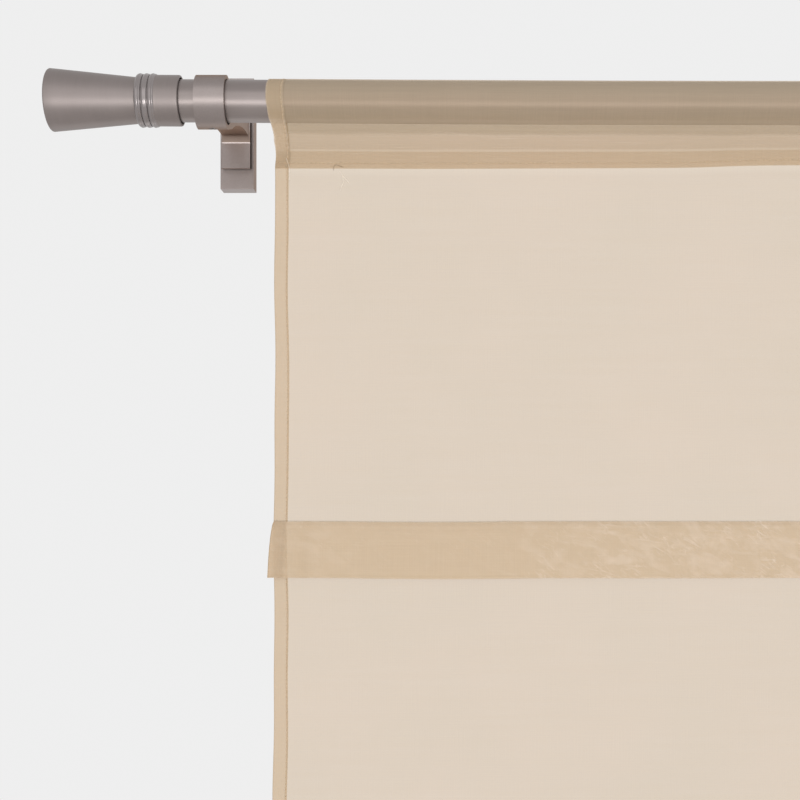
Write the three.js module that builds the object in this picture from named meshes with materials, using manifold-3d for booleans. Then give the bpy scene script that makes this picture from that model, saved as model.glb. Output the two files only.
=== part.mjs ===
// Sheer curtain panel with a rod pocket and one sewn tuck, hanging from its rod between two wall brackets.
// Millimetres, +Z up. X runs along the rod, +Y points into the wall.
// The origin lies on the wall, midway between the brackets and level with the rod's axis.
import * as THREE from "three";
import { mergeVertices } from "three/addons/utils/BufferGeometryUtils.js";
import Module from "manifold-3d";

const gap = 0.3; // between pieces that touch
const wallDistance = 128; // from the wall to the rod's axis

const rod = {
  radius: 14,
  wall: 1,
  halfLength: 476.2,
};

const finial = {
  collarStart: 462.3, // distance of the collar's open end from the middle of the rod
  collarLength: 15.8,
  collarRadius: 16.7,
  collarWall: 1.6,
  collarRound: 0.7,
  spigotLength: 24,
  beads: 3,
  beadPitch: 4.3,
  beadReach: 17.7, // outer radius over a bead
  neckRadius: 15.1,
  coneLength: 59.2,
  mouthRadius: 20.65,
  rimRound: 1.1,
};

const bracket = {
  place: 441.8, // distance of its middle from the middle of the rod
  width: 20,
  ringDrop: 1, // the ring's centre below the rod's axis
  ringRadius: 17.7,
  ringBore: 15.3,
  ringTopEnd: 70, // degrees: where the arm's top edge meets the ring
  ringUnderEnd: 280, // degrees: where the ring turns into the arm's underside
  footFront: 106, // distance behind the rod's axis
  footBottom: -23,
  footTop: 33.2,
  fillet: 8,
  armTop: 13,
};

// The arm's underside, as (distance behind the rod's axis, height above it)
const underside = {
  start: [12, -17.2],
  bend: [50, -1],
  end: [90, 2.6],
};

const plate = {
  width: 24,
  thickness: 16,
  bottom: -37.3,
  top: 47.5,
};

const screw = {
  radius: 2,
  sunk: 0.3, // inside the ring's outside
  steps: 16,
};

const cloth = {
  thickness: 1.2,
  halfWidth: 400,
  drop: 1400, // from the rod's axis to the bottom edge
  seam: 45.2, // from the rod's axis down to the seam that closes the pocket
  turnUnder: 11.1, // the pocket's raw edge, folded in above the seam
  foldExtra: 0.5, // what a folded hem adds to the thickness
  sideHem: 9.4,
  bottomHem: 25,
  rowSpacing: 96, // between the section's points down a straight run
  columns: 32, // even spaces across it, between the side hems
  hemRun: 14, // first space beside a side hem
  edgeFade: 130, // how far in from its side the panel follows the edge line
  swingGrowth: 1.4, // how steeply the ripples grow towards the bottom edge
  pocketSteps: 14, // flats round the rod
};

const tuck = {
  top: 280.8, // its seam, below the rod's axis
  depth: 37.3,
  thickness: 2, // two layers
  standOff: 3.4, // from the panel at its lower fold
  flare: 4.1, // how far its lower corner spreads past the panel's edge
  flareGrowth: 0.55, // below 1 the flap spreads most near its seam
  bow: 0.3, // how far it sags towards the panel at mid-depth
};

// How far the panel's side edge lies outside its straight line, going down from the rod's axis
const edgeLine = [
  { below: -20, out: 3.2 },
  { below: 0, out: 3.7 },
  { below: 20, out: 3.1 },
  { below: 45.2, out: 0 },
  { below: 281, out: 0.5 },
  { below: 470, out: 1.5 },
  { below: 900, out: -1.5 },
  { below: 1400, out: 2 },
];

// Soft ripples: length across the panel, height at the bottom edge, where each starts, and its sideways drift
const ripples = [
  { length: 430, height: 6.5, start: 70, drift: 60 },
  { length: 236, height: 3.6, start: 20, drift: -45 },
  { length: 151, height: 1.5, start: 95, drift: 30 },
];

const metal = new THREE.MeshStandardMaterial({ color: 0xa39a97, roughness: 0.38, metalness: 0.9 });
const darkMetal = new THREE.MeshStandardMaterial({ color: 0x2d2a29, roughness: 0.45, metalness: 0.9 });
const voile = new THREE.MeshStandardMaterial({ color: 0xd9c4a8, roughness: 0.85, metalness: 0 });

const roundSteps = 32; // around a turned piece
const degree = Math.PI / 180;

// Turns a section drawn as (distance behind the rod, height) and extruded in Z, so that it runs along X
const alongRod = new THREE.Matrix4().makeBasis(
  new THREE.Vector3(0, 1, 0),
  new THREE.Vector3(0, 0, 1),
  new THREE.Vector3(1, 0, 0),
);

function piece(name, geometry, material) {
  const mesh = new THREE.Mesh(geometry, material);
  mesh.name = name;
  return mesh;
}

// A point on a circle, as a Vector2
function onCircle(x, y, radius, angle) {
  return new THREE.Vector2(x + radius * Math.cos(angle), y + radius * Math.sin(angle));
}

// A stretch of circle as a list of points, both ends included
function arc(x, y, radius, fromDegrees, toDegrees, steps) {
  const points = [];
  for (let i = 0; i <= steps; i += 1) {
    const angle = fromDegrees + ((toDegrees - fromDegrees) * i) / steps;
    points.push(onCircle(x, y, radius, angle * degree));
  }
  return points;
}

// ---- Turned pieces: each profile is (radius, distance from the middle of the rod) ----

function turned(name, profile, material, side) {
  const mesh = piece(name, new THREE.LatheGeometry(profile, roundSteps), material);
  mesh.rotation.z = (-side * Math.PI) / 2;
  mesh.position.y = -wallDistance;
  return mesh;
}

function rodTube() {
  const inner = rod.radius - rod.wall;
  const profile = [
    new THREE.Vector2(inner, -rod.halfLength),
    new THREE.Vector2(rod.radius, -rod.halfLength),
    new THREE.Vector2(rod.radius, rod.halfLength),
    new THREE.Vector2(inner, rod.halfLength),
    new THREE.Vector2(inner, -rod.halfLength),
  ];
  return turned("rod_tube", profile, metal, 1);
}

function finialCollar(side, label) {
  const inner = finial.collarRadius - finial.collarWall;
  const round = finial.collarRound;
  const end = finial.collarStart + finial.collarLength;
  const spigotRadius = rod.radius - rod.wall - gap;
  const bottom = rod.halfLength + gap; // inside face that the tube's end meets
  const profile = [
    new THREE.Vector2(0, bottom - finial.spigotLength),
    new THREE.Vector2(spigotRadius, bottom - finial.spigotLength),
    new THREE.Vector2(spigotRadius, bottom),
    new THREE.Vector2(inner, bottom),
    new THREE.Vector2(inner, finial.collarStart),
    ...arc(finial.collarRadius - round, finial.collarStart + round, round, -90, 0, 3),
    new THREE.Vector2(finial.collarRadius, end),
    new THREE.Vector2(0, end),
  ];
  return turned(`finial_collar_${label}`, profile, metal, side);
}

function finialTrumpet(side, label) {
  const start = finial.collarStart + finial.collarLength + gap;
  const beadRadius = finial.beadPitch / 2;
  const beadCentre = finial.beadReach - beadRadius;
  const profile = [new THREE.Vector2(0, start)];
  for (let i = 0; i < finial.beads; i += 1) {
    const along = start + beadRadius + i * finial.beadPitch;
    const bead = arc(beadCentre, along, beadRadius, -90, 90, 6);
    profile.push(...(i === 0 ? bead : bead.slice(1)));
  }
  const neck = start + finial.beads * finial.beadPitch;
  const mouth = neck + finial.coneLength;
  const round = finial.rimRound;
  profile.push(new THREE.Vector2(finial.neckRadius, neck));
  profile.push(...arc(finial.mouthRadius - round, mouth - round, round, 5, 90, 3));
  profile.push(new THREE.Vector2(0, mouth));
  return turned(`finial_trumpet_${label}`, profile, metal, side);
}

// ---- Brackets ----

// The ring, arm and foot as one outline: x is the distance behind the rod's axis, y the height above it
function bracketOutline() {
  const b = bracket;
  const underArm = underside.end[1];
  const filletStart = b.footFront - b.fillet;
  const footBack = wallDistance - plate.thickness - gap;
  const shape = new THREE.Shape();
  shape.absarc(0, -b.ringDrop, b.ringRadius, b.ringTopEnd * degree, b.ringUnderEnd * degree, false);
  shape.lineTo(...underside.start);
  shape.quadraticCurveTo(...underside.bend, ...underside.end);
  shape.lineTo(filletStart, underArm);
  shape.absarc(filletStart, underArm - b.fillet, b.fillet, 90 * degree, 0, true);
  shape.lineTo(b.footFront, b.footBottom);
  shape.lineTo(footBack, b.footBottom);
  shape.lineTo(footBack, b.footTop);
  shape.lineTo(b.footFront, b.footTop);
  shape.absarc(filletStart, b.armTop + b.fillet, b.fillet, 0, -90 * degree, true);
  shape.closePath();
  const bore = new THREE.Path();
  bore.absarc(0, -b.ringDrop, b.ringBore, 0, 360 * degree, true);
  shape.holes.push(bore);
  return shape;
}

const wasm = await Module();
wasm.setup();

// A closed geometry as a solid that can be cut
function solid(geometry) {
  const bare = geometry.clone();
  bare.deleteAttribute("normal");
  bare.deleteAttribute("uv");
  const merged = mergeVertices(bare, 1e-4);
  const vertProperties = new Float32Array(merged.attributes.position.array);
  const triVerts = new Uint32Array(merged.index.array);
  return new wasm.Manifold(new wasm.Mesh({ numProp: 3, vertProperties, triVerts }));
}

function fromSolid(body) {
  const mesh = body.getMesh();
  const geometry = new THREE.BufferGeometry();
  geometry.setAttribute("position", new THREE.BufferAttribute(mesh.vertProperties, 3));
  geometry.setIndex(new THREE.BufferAttribute(mesh.triVerts, 1));
  geometry.computeVertexNormals();
  return geometry;
}

const ringBottom = -bracket.ringDrop - bracket.ringRadius; // height of the ring's lowest line

function bracketArm(side, label) {
  const bar = new THREE.ExtrudeGeometry(bracketOutline(), {
    depth: bracket.width,
    bevelEnabled: false,
    curveSegments: 16,
  });
  bar.translate(0, 0, -bracket.width / 2);
  const overrun = 1; // of the drill past the ring's two faces
  const depth = bracket.ringRadius - bracket.ringBore + 2 * overrun;
  const drill = new THREE.CylinderGeometry(screw.radius + gap, screw.radius + gap, depth, screw.steps);
  drill.translate(0, ringBottom - overrun + depth / 2, 0);
  const geometry = fromSolid(solid(bar).subtract(solid(drill)));
  geometry.applyMatrix4(alongRod);
  const mesh = piece(`bracket_arm_${label}`, geometry, metal);
  mesh.position.set(side * bracket.place, -wallDistance, 0);
  return mesh;
}

function bracketScrew(side, label) {
  const low = ringBottom + screw.sunk;
  const high = -rod.radius - gap;
  const geometry = new THREE.CylinderGeometry(screw.radius, screw.radius, high - low, screw.steps);
  geometry.rotateX(Math.PI / 2);
  const mesh = piece(`bracket_screw_${label}`, geometry, darkMetal);
  mesh.position.set(side * bracket.place, -wallDistance, (low + high) / 2);
  return mesh;
}

function wallPlate(side, label) {
  const height = plate.top - plate.bottom;
  const geometry = new THREE.BoxGeometry(plate.width, plate.thickness, height);
  const mesh = piece(`wall_plate_${label}`, geometry, metal);
  mesh.position.set(side * bracket.place, -plate.thickness / 2, plate.bottom + height / 2);
  return mesh;
}

// ---- Cloth ----

const half = cloth.thickness / 2;
const sliver = 0.1; // smaller than any step in the section

// Adds a straight run down or up the sheet, with a point every rowSpacing or less
function straightRun(points, x, fromHeight, toHeight) {
  const steps = Math.max(1, Math.ceil(Math.abs(toHeight - fromHeight) / cloth.rowSpacing));
  for (let i = 0; i <= steps; i += 1) {
    points.push(new THREE.Vector2(x, fromHeight + ((toHeight - fromHeight) * i) / steps));
  }
}

// Angle, in degrees, of the point where a line from (x, y) touches the circle round the rod on its wall side
function touchAngle(x, y, radius) {
  return (Math.atan2(y, x) + Math.acos(radius / Math.hypot(x, y))) / degree;
}

// The panel cut through from front to back: x is the distance behind the rod's axis, y the height above it
function clothSection() {
  const pocketInside = rod.radius + gap * 1.5; // its flats then clear the rod by the gap
  const pocketOutside = pocketInside + cloth.thickness;
  const touch = touchAngle(half, -cloth.seam, pocketOutside);
  const touchPoint = onCircle(0, 0, pocketOutside, touch * degree);
  const turn = cloth.turnUnder / (cloth.seam + touchPoint.y); // share of the pocket's straight side
  const turnTop = new THREE.Vector2(
    half + (touchPoint.x - half) * turn,
    -cloth.seam + (touchPoint.y + cloth.seam) * turn,
  );
  const hemTop = -cloth.drop + cloth.bottomHem;
  const flapBottom = -tuck.top - tuck.depth;
  const flapBack = -half - tuck.standOff;
  const points = [new THREE.Vector2(-half, -cloth.drop)];
  points.push(new THREE.Vector2(half + cloth.foldExtra, -cloth.drop));
  points.push(new THREE.Vector2(half + cloth.foldExtra, hemTop));
  straightRun(points, half, hemTop + cloth.foldExtra, -cloth.seam - cloth.foldExtra);
  points.push(new THREE.Vector2(half + cloth.foldExtra, -cloth.seam));
  points.push(new THREE.Vector2(turnTop.x + cloth.foldExtra, turnTop.y));
  points.push(new THREE.Vector2(turnTop.x + sliver, turnTop.y + cloth.foldExtra));
  points.push(...arc(0, 0, pocketOutside, touch, 180 - touch, cloth.pocketSteps));
  straightRun(points, -half, -cloth.seam, -tuck.top + tuck.thickness / 2);
  points.push(new THREE.Vector2(-half - tuck.thickness, -tuck.top - tuck.thickness / 2));
  points.push(new THREE.Vector2(flapBack - tuck.thickness + tuck.bow, (-tuck.top + flapBottom) / 2));
  const fold = tuck.thickness / 2;
  points.push(...arc(flapBack - fold, flapBottom + fold, fold, 180, 360, 4));
  straightRun(points, -half, -tuck.top - 3 * fold, -cloth.drop + cloth.rowSpacing);

  const shape = new THREE.Shape(points);
  const slotEnd = new THREE.Vector2(0, -cloth.seam + cloth.thickness * 2);
  const insideTouch = touchAngle(slotEnd.x, slotEnd.y, pocketInside);
  const slot = arc(0, 0, pocketInside, insideTouch, 180 - insideTouch, cloth.pocketSteps);
  slot.push(slotEnd);
  shape.holes.push(new THREE.Path(slot));
  return shape;
}

// Places across the panel: close together at the side hems, evenly spaced between them
function stations() {
  const edge = [0, cloth.sideHem - cloth.foldExtra, cloth.sideHem, cloth.sideHem + cloth.hemRun];
  const inner = cloth.halfWidth - edge[3];
  const places = edge.map((inset) => -cloth.halfWidth + inset);
  for (let i = 1; i < cloth.columns; i += 1) {
    places.push(-inner + (2 * inner * i) / cloth.columns);
  }
  return [...places, ...edge.map((inset) => cloth.halfWidth - inset).reverse()];
}

function smooth(t) {
  return t * t * (3 - 2 * t);
}

function edgeOut(below) {
  const rows = edgeLine;
  if (below <= rows[0].below) {
    return rows[0].out;
  }
  for (let i = 1; i < rows.length; i += 1) {
    if (below <= rows[i].below) {
      const t = (below - rows[i - 1].below) / (rows[i].below - rows[i - 1].below);
      return rows[i - 1].out + (rows[i].out - rows[i - 1].out) * smooth(t);
    }
  }
  return rows[rows.length - 1].out;
}

// How far the sheet swings towards the wall at a place across it and a depth below the rod's axis
function swing(across, below) {
  const share = Math.max(0, (below - cloth.seam) / (cloth.drop - cloth.seam));
  let sum = 0;
  for (const r of ripples) {
    const phase = (across + r.start + r.drift * share) / r.length;
    sum += r.height * Math.sin(phase * 360 * degree);
  }
  return sum * share ** cloth.swingGrowth;
}

// Moves one point of the straight extrusion to where the hanging cloth has it
function drape(point, places) {
  const across = places[Math.round(point.z)];
  const below = -point.y;
  const side = Math.sign(across);
  const inset = cloth.halfWidth - Math.abs(across);
  const nearEdge = Math.max(0, 1 - inset / cloth.edgeFade);
  const flapShare = (below - tuck.top) / tuck.depth;
  const onFlap = point.x < -half - sliver && flapShare > 0 && flapShare < 1 + sliver;
  let out = edgeOut(below);
  if (onFlap) {
    out += tuck.flare * Math.min(1, flapShare) ** tuck.flareGrowth;
  }
  const onBack = Math.abs(point.x - half) < sliver && below > cloth.seam + cloth.thickness;
  if (onBack && inset < cloth.sideHem - sliver) {
    point.x += cloth.foldExtra;
  }
  point.x += swing(across, below);
  point.z = across + side * out * nearEdge;
}

function curtainPanel() {
  const places = stations();
  const spans = places.length - 1;
  const geometry = new THREE.ExtrudeGeometry(clothSection(), {
    depth: spans,
    steps: spans,
    bevelEnabled: false,
  });
  const position = geometry.attributes.position;
  const point = new THREE.Vector3();
  for (let i = 0; i < position.count; i += 1) {
    point.fromBufferAttribute(position, i);
    drape(point, places);
    position.setXYZ(i, point.x, point.y, point.z);
  }
  geometry.applyMatrix4(alongRod);
  geometry.computeVertexNormals();
  const mesh = piece("curtain_panel", geometry, voile);
  mesh.position.y = -wallDistance;
  return mesh;
}

const curtain = new THREE.Group();
curtain.add(curtainPanel(), rodTube());
for (const [side, label] of [[-1, "left"], [1, "right"]]) {
  curtain.add(
    finialCollar(side, label),
    finialTrumpet(side, label),
    bracketArm(side, label),
    bracketScrew(side, label),
    wallPlate(side, label),
  );
}

export default curtain;
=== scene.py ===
import math

import bmesh
import bpy
import numpy as np
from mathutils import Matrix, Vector


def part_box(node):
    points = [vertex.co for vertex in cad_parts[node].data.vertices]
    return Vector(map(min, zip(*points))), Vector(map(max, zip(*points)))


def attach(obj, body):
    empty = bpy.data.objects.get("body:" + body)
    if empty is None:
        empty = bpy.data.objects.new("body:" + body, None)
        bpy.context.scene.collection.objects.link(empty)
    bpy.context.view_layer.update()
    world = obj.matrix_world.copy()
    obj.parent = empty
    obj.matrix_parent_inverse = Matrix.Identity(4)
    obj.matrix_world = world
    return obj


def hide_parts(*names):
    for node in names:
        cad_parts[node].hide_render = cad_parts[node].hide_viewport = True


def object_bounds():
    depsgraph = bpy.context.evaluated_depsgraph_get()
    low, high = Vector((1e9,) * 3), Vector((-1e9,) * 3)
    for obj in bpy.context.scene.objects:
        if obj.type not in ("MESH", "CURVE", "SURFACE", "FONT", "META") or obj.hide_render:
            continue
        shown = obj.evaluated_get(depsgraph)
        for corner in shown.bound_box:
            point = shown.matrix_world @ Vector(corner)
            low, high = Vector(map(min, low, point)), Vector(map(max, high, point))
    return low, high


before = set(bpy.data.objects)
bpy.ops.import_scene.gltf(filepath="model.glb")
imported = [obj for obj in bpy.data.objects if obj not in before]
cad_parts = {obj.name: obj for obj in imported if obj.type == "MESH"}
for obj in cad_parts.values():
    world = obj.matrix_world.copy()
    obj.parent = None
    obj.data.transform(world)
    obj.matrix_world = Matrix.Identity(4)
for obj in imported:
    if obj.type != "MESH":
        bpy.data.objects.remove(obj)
cadLow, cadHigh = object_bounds()
mm = 0.001

rodLow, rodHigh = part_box("rod_tube")
axisY = (rodLow[1] + rodHigh[1]) / 2
axisZ = (rodLow[2] + rodHigh[2]) / 2
rodRadius = (rodHigh[2] - rodLow[2]) / 2
rodHalf = (rodHigh[0] - rodLow[0]) / 2
print("frame loaded, rod axis at", round(axisY, 4), round(axisZ, 4))

shared = {
    "roundSides": 96,
    "weld": 0.002 * mm,  # points closer than this are one
    "smoothAngle": 30,  # degrees
    "bevelAngle": 35,
}


def onlyThis(obj):
    bpy.ops.object.select_all(action="DESELECT")
    obj.select_set(True)
    bpy.context.view_layer.objects.active = obj


def addPlain(primitive, **settings):
    bpy.ops.object.select_all(action="DESELECT")
    primitive(**settings)
    return bpy.context.object


def beginEdit(name, primitive, **settings):  # adds it, fixes it in place and opens it, nothing selected
    obj = addPlain(primitive, **settings)
    obj.name = obj.data.name = name
    onlyThis(obj)
    bpy.ops.object.transform_apply(location=True, rotation=True, scale=True)
    bpy.ops.object.mode_set(mode="EDIT")
    bpy.ops.mesh.select_all(action="DESELECT")
    return obj


def pick(kind, test):  # kind: FACE or EDGE
    bpy.ops.mesh.select_mode(type=kind)
    mesh = bmesh.from_edit_mesh(bpy.context.object.data)
    for item in mesh.faces if kind == "FACE" else mesh.edges:
        item.select_set(bool(test(item)))
    bmesh.update_edit_mesh(bpy.context.object.data)


def extrude(x=0.0, y=0.0, z=0.0):
    bpy.ops.mesh.extrude_region_move(TRANSFORM_OT_translate={"value": (x, y, z)})


def resize(scale, centre):
    bpy.ops.transform.resize(value=scale, center_override=centre)


def endEdit(obj):
    bpy.ops.mesh.select_all(action="SELECT")
    bpy.ops.mesh.remove_doubles(threshold=shared["weld"])
    bpy.ops.mesh.normals_make_consistent(inside=False)
    bpy.ops.mesh.select_all(action="DESELECT")
    bpy.ops.object.mode_set(mode="OBJECT")
    onlyThis(obj)
    bpy.ops.object.shade_smooth_by_angle(angle=math.radians(shared["smoothAngle"]))


def applyBevel(obj, width, segments=2):
    onlyThis(obj)
    bevel = obj.modifiers.new("edges", "BEVEL")
    bevel.width = width
    bevel.segments = segments
    bevel.limit_method = "ANGLE"
    bevel.angle_limit = math.radians(shared["bevelAngle"])
    bevel.use_clamp_overlap = True
    bevel.harden_normals = True
    bpy.ops.object.modifier_apply(modifier=bevel.name)


def addObject(name, data):
    obj = bpy.data.objects.new(name, data)
    bpy.context.scene.collection.objects.link(obj)
    return obj


def smoothPiece(name, spots, faces):  # cloth and thread are made from their points
    mesh = bpy.data.meshes.new(name)
    mesh.from_pydata(spots.tolist(), [], faces.tolist())
    obj = addObject(name, mesh)
    onlyThis(obj)
    bpy.ops.object.shade_smooth()
    return obj


def addMark(obj, name, values):  # a number at each point, which the finish reads
    mark = obj.data.attributes.new(name, "FLOAT", "POINT")
    mark.data.foreach_set("value", np.ravel(values).astype(np.float32))


def dress(obj, material):
    obj.data.materials.clear()
    obj.data.materials.append(material)


def dressPart(obj, material, wanted):  # another finish on some of the faces
    obj.data.materials.append(material)
    slot = len(obj.data.materials) - 1
    for face in obj.data.polygons:
        if wanted(face):
            face.material_index = slot


def handOver(obj, slot, *nodes):
    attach(obj, "root")
    if nodes:
        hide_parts(*nodes)


class Nodes:
    def __init__(self, name):
        self.material = bpy.data.materials.new(name)
        self.material.use_nodes = True
        self.tree = self.material.node_tree
        self.shader = self.tree.nodes["Principled BSDF"]

    def feed(self, value, socket):  # an output is linked, a number or a colour is set
        if isinstance(value, bpy.types.NodeSocket):
            self.tree.links.new(value, socket)
        elif socket.type == "RGBA":
            socket.default_value = (*value, 1)
        else:
            socket.default_value = value

    def add(self, kind, inputs=None, **settings):
        node = self.tree.nodes.new("ShaderNode" + kind)
        for key, value in settings.items():
            setattr(node, key, value)
        for key, value in (inputs or {}).items():
            self.feed(value, node.inputs[key])
        return node

    def surface(self, inputs):
        for key, value in inputs.items():
            self.feed(value, self.shader.inputs[key])

    def place(self):
        return self.add("TexCoord").outputs["Object"]

    def mark(self, name):
        return self.add("Attribute", attribute_name=name).outputs["Fac"]

    def noise(self, vector, scale, detail=2.0, roughness=0.5, distortion=0.0):
        inputs = {"Scale": scale, "Detail": detail, "Roughness": roughness, "Distortion": distortion}
        return self.add("TexNoise", {"Vector": vector, **inputs}).outputs["Fac"]

    def streaks(self, vector, stretch, turn=0, **settings):  # turned first, so that the stretch follows
        steps = [{"Rotation": (0, 0, math.radians(turn))}] if turn else []
        for step in steps + [{"Scale": stretch}]:
            vector = self.add("Mapping", {"Vector": vector, **step}).outputs["Vector"]
        return self.noise(vector, 1.0, **settings)

    def math(self, operation, a, b=0.0, clamp=False):
        return self.add("Math", {0: a, 1: b}, operation=operation, use_clamp=clamp).outputs[0]

    def weigh(self, first, firstShare, second, secondShare):
        parts = [self.math("MULTIPLY", *pair) for pair in ((first, firstShare), (second, secondShare))]
        return self.math("ADD", *parts)

    def remap(self, value, low, high, toLow, toHigh):
        inputs = {"Value": value, "From Min": low, "From Max": high, "To Min": toLow, "To Max": toHigh}
        return self.add("MapRange", inputs).outputs["Result"]

    def blend(self, factor, first, second):
        inputs = {"Factor": factor, "A": first, "B": second}
        return self.add("Mix", inputs, data_type="RGBA").outputs["Result"]

    def mixShaders(self, share, first, second):
        return self.add("MixShader", {"Fac": share, 1: first, 2: second}).outputs["Shader"]

    def bump(self, height, strength, distance, lean=0.0):
        node = self.add("Bump", {"Height": height, "Strength": strength, "Distance": distance})
        if lean:  # the surface tips a little downwards
            normal = self.add("TexCoord").outputs["Normal"]
            tipped = self.add("VectorMath", {0: normal, 1: (0, 0, -lean)}, operation="ADD")
            unit = self.add("VectorMath", {0: tipped.outputs["Vector"]}, operation="NORMALIZE")
            self.feed(unit.outputs["Vector"], node.inputs["Normal"])
        self.surface({"Normal": node.outputs["Normal"]})


nickel = {
    "tones": ((0.240, 0.208, 0.198), (0.275, 0.240, 0.230)),
    "cloudPerMetre": 38,
    "grainPerMetre": 2600,
    "bump": 0.10,
    "bumpHeight": 0.05 * mm,
    "lowAngleShadeTint": (0.68, 0.54, 0.44),  # darker and warmer reflection at a low angle: painted shade
}


def satinNickel(name, lines, roughness, bright, grazing=(1, 1, 1), warmth=1.0, lean=0.0):
    n = Nodes(name)  # lines: polishing marks per metre along x, y and z
    place = n.place()
    marks = n.streaks(place, lines, detail=3, roughness=0.6)
    cloud = n.noise(place, nickel["cloudPerMetre"], detail=3)
    fine = n.noise(place, nickel["grainPerMetre"], detail=1)
    tones = [tuple(bright * part * warmth ** k for k, part in enumerate(tone)) for tone in nickel["tones"]]
    n.surface({
        "Base Color": n.blend(n.remap(n.weigh(marks, 0.45, cloud, 0.55), 0.35, 0.65, 0, 1), *tones),
        "Roughness": n.remap(n.weigh(marks, 0.6, cloud, 0.4), 0.3, 0.7, *roughness),
        "Metallic": 1.0,
        "Specular Tint": grazing,
    })
    n.bump(n.weigh(marks, 0.7, fine, 0.3), nickel["bump"], nickel["bumpHeight"], lean)
    return n.material


turnedNickel = satinNickel("turnedNickel", (5200, 40, 40), (0.44, 0.50), 1.0)  # rings round the axis
reededNickel = satinNickel("reededNickel", (5200, 40, 40), (0.25, 0.31), 1.10, warmth=1.03)
drawnNickel = satinNickel("drawnNickel", (14, 2400, 2400), (0.36, 0.43), 1.04)  # lines along the tube
castNickel = satinNickel("castNickel", (900, 160, 900), (0.41, 0.48), 1.32, nickel["lowAngleShadeTint"])
ringNickel = satinNickel("ringNickel", (900, 160, 900), (0.37, 0.43), 1.10, nickel["lowAngleShadeTint"], lean=0.12)
archShadeNickel = satinNickel(  # underside, a little darker and warmer: painted shade
    "archShadeNickel", (900, 160, 900), (0.41, 0.48), 1.28, nickel["lowAngleShadeTint"], warmth=0.89
)
footShadeNickel = satinNickel("footShadeNickel", (700, 700, 160), (0.50, 0.60), 0.24, (0.30, 0.22, 0.17))  # dark, painted shade on the foot's sides and in its groove
plateBottomLightNickel = satinNickel("plateBottomLightNickel", (160, 900, 900), (0.41, 0.48), 1.36)  # under faces of a wall plate, lighter and not darkened at low angles: painted light
footHighlightNickel = satinNickel("footHighlightNickel", (1400, 300, 1400), (0.28, 0.38), 1.85)  # painted highlight, a bright line along an edge
print("satin nickel finishes made")


def curve(along, radius, size, fromDegrees, toDegrees, steps):  # stretch of circle as (along, radius) pairs
    out = []
    for i in range(steps + 1):
        angle = math.radians(fromDegrees + (toDegrees - fromDegrees) * i / steps)
        out.append((along + size * math.sin(angle), radius + size * math.cos(angle)))
    return out


def turn(name, profile, side):  # a ring of edges is drawn along the rod's axis, from one radius to the next
    pole = 0.1 * mm  # a ring this small, with a face across it, is a point on the axis
    along, radius = profile[0][0], max(profile[0][1], pole)
    obj = beginEdit(
        name, bpy.ops.mesh.primitive_circle_add, vertices=shared["roundSides"], radius=radius,
        location=(side * along, axisY, axisZ), rotation=(0, math.pi / 2, 0),
    )
    bpy.ops.mesh.select_mode(type="EDGE")
    bpy.ops.mesh.select_all(action="SELECT")
    if profile[0][1] == 0:
        bpy.ops.mesh.edge_face_add()
    for nextAlong, nextRadius in profile[1:]:
        nextRadius = max(nextRadius, pole)
        extrude(x=side * (nextAlong - along))
        scale = nextRadius / radius
        resize((1, scale, scale), (side * nextAlong, axisY, axisZ))
        along, radius = nextAlong, nextRadius
    if profile[-1][1] == 0:
        bpy.ops.mesh.edge_face_add()
    endEdit(obj)
    return obj


rodSizes = {
    "wall": 1.0 * mm,
    "edge": 0.25 * mm,
    "bands": 36,
    "sag": 1.9 * mm,  # at the middle, between the brackets
    "rest": 0.12 * mm,  # how much lower it lies in its rings
    "overhang": 0.0055,  # slope of the ends, which rise
}

bracketAt = (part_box("bracket_arm_right")[0][0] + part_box("bracket_arm_right")[1][0]) / 2


def sagAt(x):
    beyond = np.maximum(np.abs(x) - bracketAt, 0)
    between = (rodSizes["sag"] - rodSizes["rest"]) * np.clip(1 - (x / bracketAt) ** 2, 0, 1)
    return rodSizes["rest"] + between - rodSizes["overhang"] * beyond


def followRod(obj):
    for vertex in obj.data.vertices:
        vertex.co.z -= float(sagAt(vertex.co.x))


def buildRod():
    inner, edge, bands = rodRadius - rodSizes["wall"], rodSizes["edge"], rodSizes["bands"]
    profile = [(-rodHalf, inner), (-rodHalf, rodRadius - edge), (-rodHalf + edge, rodRadius)]
    for i in range(1, bands):
        profile.append((-rodHalf + 2 * rodHalf * i / bands, rodRadius))
    profile += [(rodHalf - edge, rodRadius), (rodHalf, rodRadius - edge), (rodHalf, inner)]
    for i in range(1, bands + 1):
        profile.append((rodHalf - 2 * rodHalf * i / bands, inner))
    rod = turn("rodTube", profile, 1)
    followRod(rod)
    dress(rod, drawnNickel)
    handOver(rod, "satin_nickel", "rod_tube")


buildRod()
print("rod made")

finial = {
    "spigot": 9.8 * mm,  # its length inside the tube
    "spigotEdge": 0.8 * mm,
    "slack": 0.3 * mm,
    "mouth": 14.95 * mm,
    "innerLip": 0.3 * mm,
    "outerLip": 1.1 * mm,
    "shoulder": 0.5 * mm,
    "beadStart": 0.1 * mm,  # before the collar's end
    "beadPitch": 4.3 * mm,
    "beadReach": 17.7 * mm,
    "beadArc": 46,  # degrees to each side of its crest
    "beadSteps": 20,
    "groove": (0.4 * mm, 0.45 * mm),  # between beads: wide, deep
    "notches": (0.38 * mm, 0.20 * mm, 0.38 * mm),  # fine line cut into each bead
    "notchAt": (0.35, 0.09),  # its place and width, as shares of the bead
    "neck": 15.1 * mm,
    "neckStep": 0.35 * mm,
    "rim": 1.1 * mm,
    "shorter": 0.9 * mm,  # the cone's lip
    "coneRings": 8,
    "dish": 1.2 * mm,
    "dishRadius": 17.4 * mm,
    "dishCorner": (0.8 * mm, 1.3 * mm),  # inwards, and its radius
}


def spanOut(node):  # where a node starts and ends, outwards along the rod
    low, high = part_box(node)
    return sorted((abs(low[0]), abs(high[0])))


def radiusOf(node):
    low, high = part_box(node)
    return (high[2] - low[2]) / 2


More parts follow.
